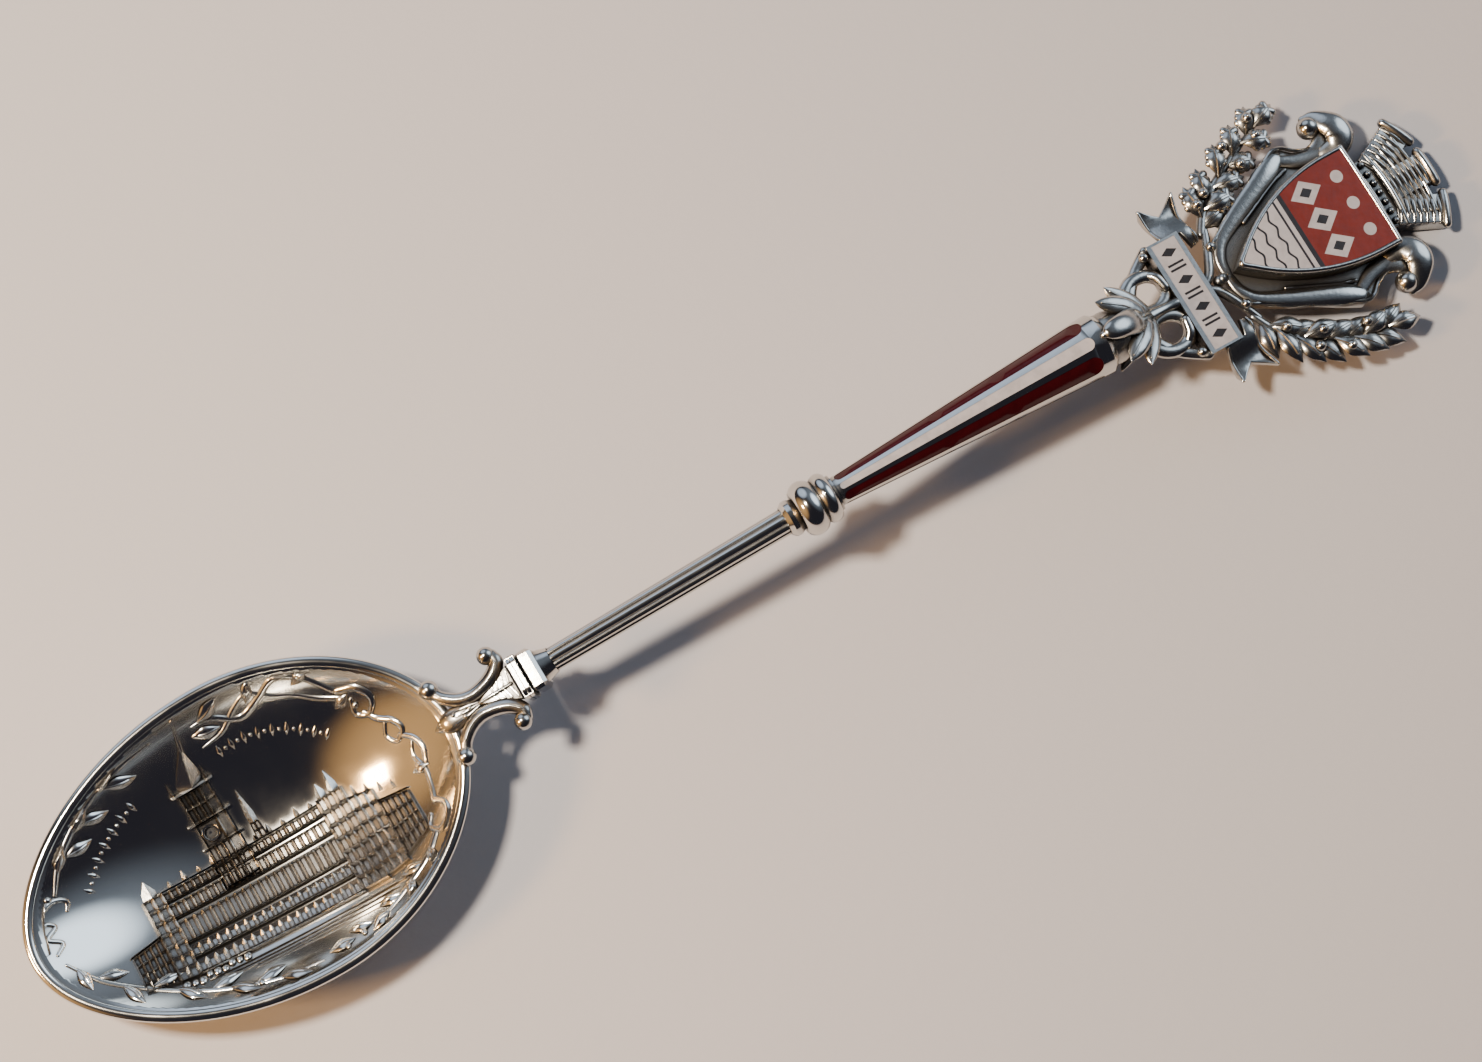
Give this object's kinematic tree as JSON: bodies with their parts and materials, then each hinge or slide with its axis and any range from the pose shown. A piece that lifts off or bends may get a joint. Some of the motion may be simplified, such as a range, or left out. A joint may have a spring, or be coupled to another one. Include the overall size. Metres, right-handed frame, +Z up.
{
  "type": "souvenir spoon",
  "caption": "Silver souvenir teaspoon: struck bowl, scrolled neck, reeded and enamelled stem, cast finial with ribbon, shield, branches and wall crown.",
  "frame": {"origin": "under the middle of the whole spoon, on the surface that it lies on, face up", "axes": "+X from the bowl's tip to the crown, +Y to the left when looking from the bowl to the crown, +Z up out of the bowl"},
  "size_m": [0.1299, 0.0256, 0.0126],
  "materials": {
    "silver_polished": "polished silver, tarnish left in the low places",
    "silver_cast": "cast silver, polished on the high places and oxidised in the recesses",
    "enamel_white": "fired glass enamel, glossy, opaque white",
    "enamel_red": "fired glass enamel, glossy, opaque red",
    "enamel_clear_red": "fired glass enamel, glossy, deep translucent red over silver",
    "enamel_black": "fired glass enamel, glossy, black"
  },
  "bodies": {
    "root": {"berries": "silver_cast", "bowl": "silver_polished", "branch_left": "silver_cast", "branch_right": "silver_cast", "calyx": "silver_cast", "cartouche": "silver_cast", "cartouche_balls": "silver_cast", "crown_band": "silver_cast", "crown_towers": "silver_cast", "enamel_black_lines": "enamel_black", "enamel_red_field": "enamel_red", "enamel_ribbon": "enamel_white", "enamel_ribbon_marks": "enamel_black", "enamel_shaft_red": "enamel_clear_red", "enamel_shaft_white": "enamel_white", "enamel_white_base": "enamel_white", "enamel_white_charges": "enamel_white", "heel_leaf": "silver_cast", "horn_balls": "silver_cast", "knop": "silver_polished", "lower_shaft": "silver_polished", "neck_block": "silver_polished", "neck_wedge": "silver_cast", "ribbon_plate": "silver_polished", "ribbon_tail_left": "silver_cast", "ribbon_tail_right": "silver_cast", "rim_beads": "silver_cast", "scroll_bar_left": "silver_cast", "scroll_bar_right": "silver_cast", "shield_setting": "silver_polished", "stem_loops": "silver_cast", "upper_shaft": "silver_polished"}
  },
  "joints": []
}
